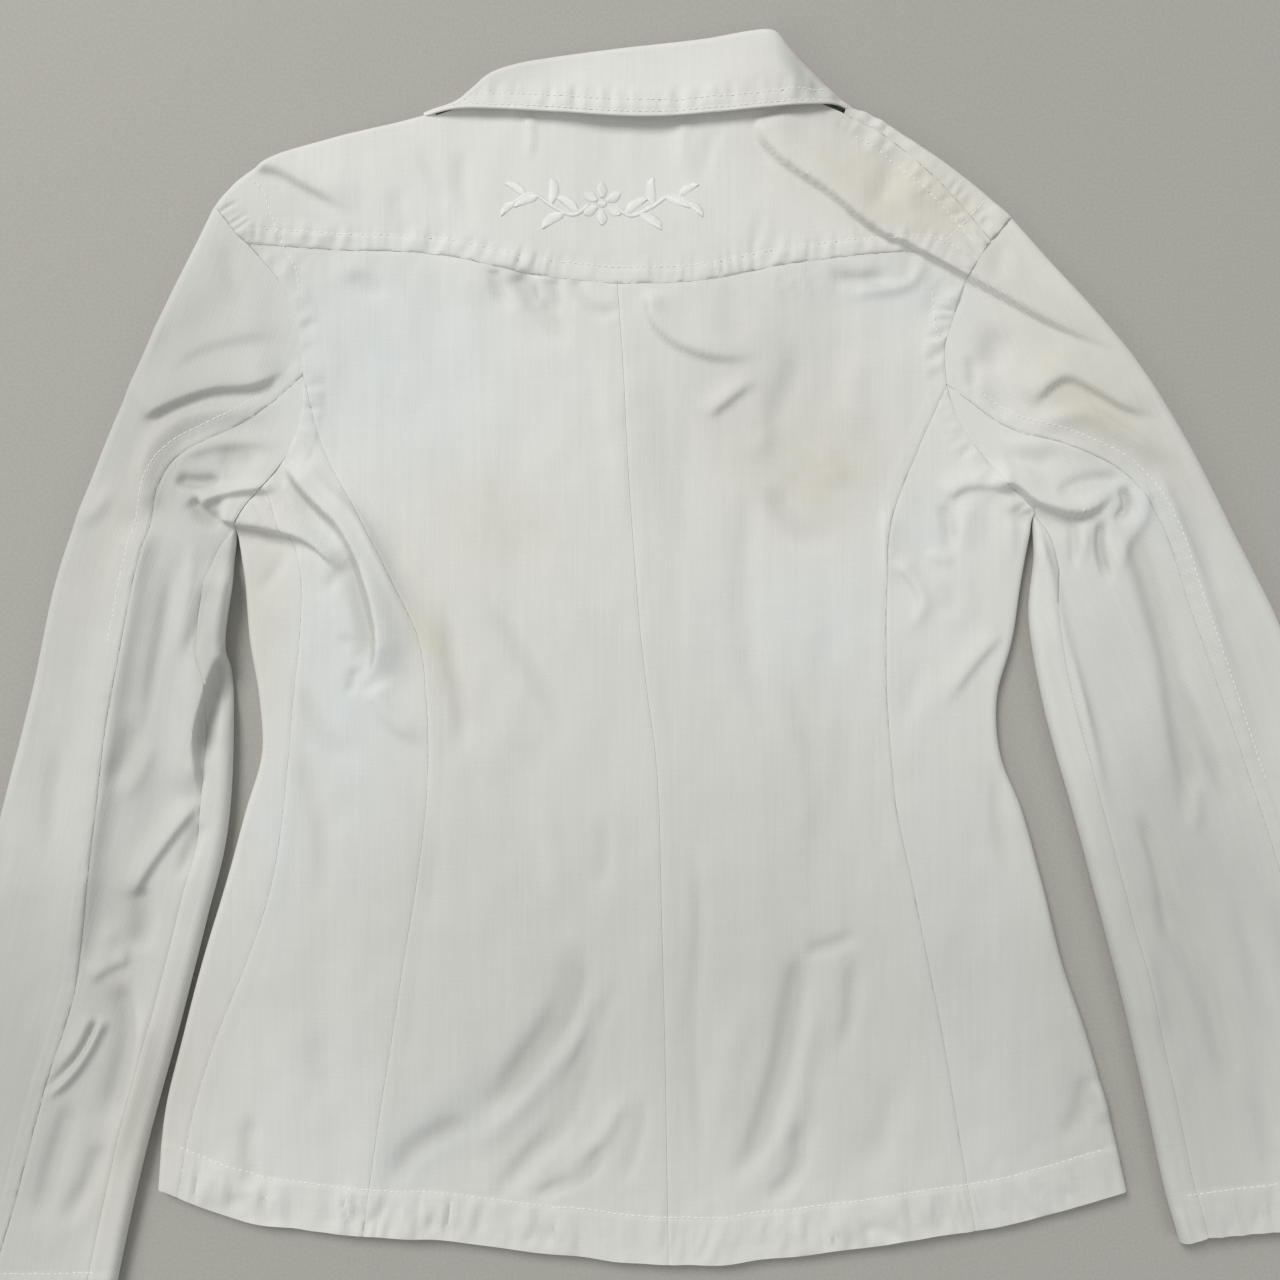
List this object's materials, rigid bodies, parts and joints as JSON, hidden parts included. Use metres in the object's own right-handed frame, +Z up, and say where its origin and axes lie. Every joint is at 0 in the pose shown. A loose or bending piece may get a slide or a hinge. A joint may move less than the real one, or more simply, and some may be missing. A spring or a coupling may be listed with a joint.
{
  "type": "blazer",
  "caption": "Short fitted cotton jacket with a turned-down collar, curved back yoke and two-part sleeves, laid flat on its front, back side up.",
  "frame": {"origin": "on the table under the middle of the laid-out jacket's outline box", "axes": "+Z up from the table, +Y towards the collar, +X towards the wearer's right sleeve"},
  "size_m": [0.815, 0.687, 0.0186],
  "materials": {
    "cloth_white": "matte white cotton twill with tone-on-tone topstitching"
  },
  "bodies": {
    "root": {"yoke": "cloth_white", "back_left": "cloth_white", "back_right": "cloth_white", "side_back_left": "cloth_white", "side_back_right": "cloth_white", "front_left": "cloth_white", "front_right": "cloth_white", "top_sleeve_left": "cloth_white", "under_sleeve_left": "cloth_white", "top_sleeve_right": "cloth_white", "under_sleeve_right": "cloth_white", "collar_fall": "cloth_white", "collar_stand": "cloth_white"}
  },
  "joints": []
}
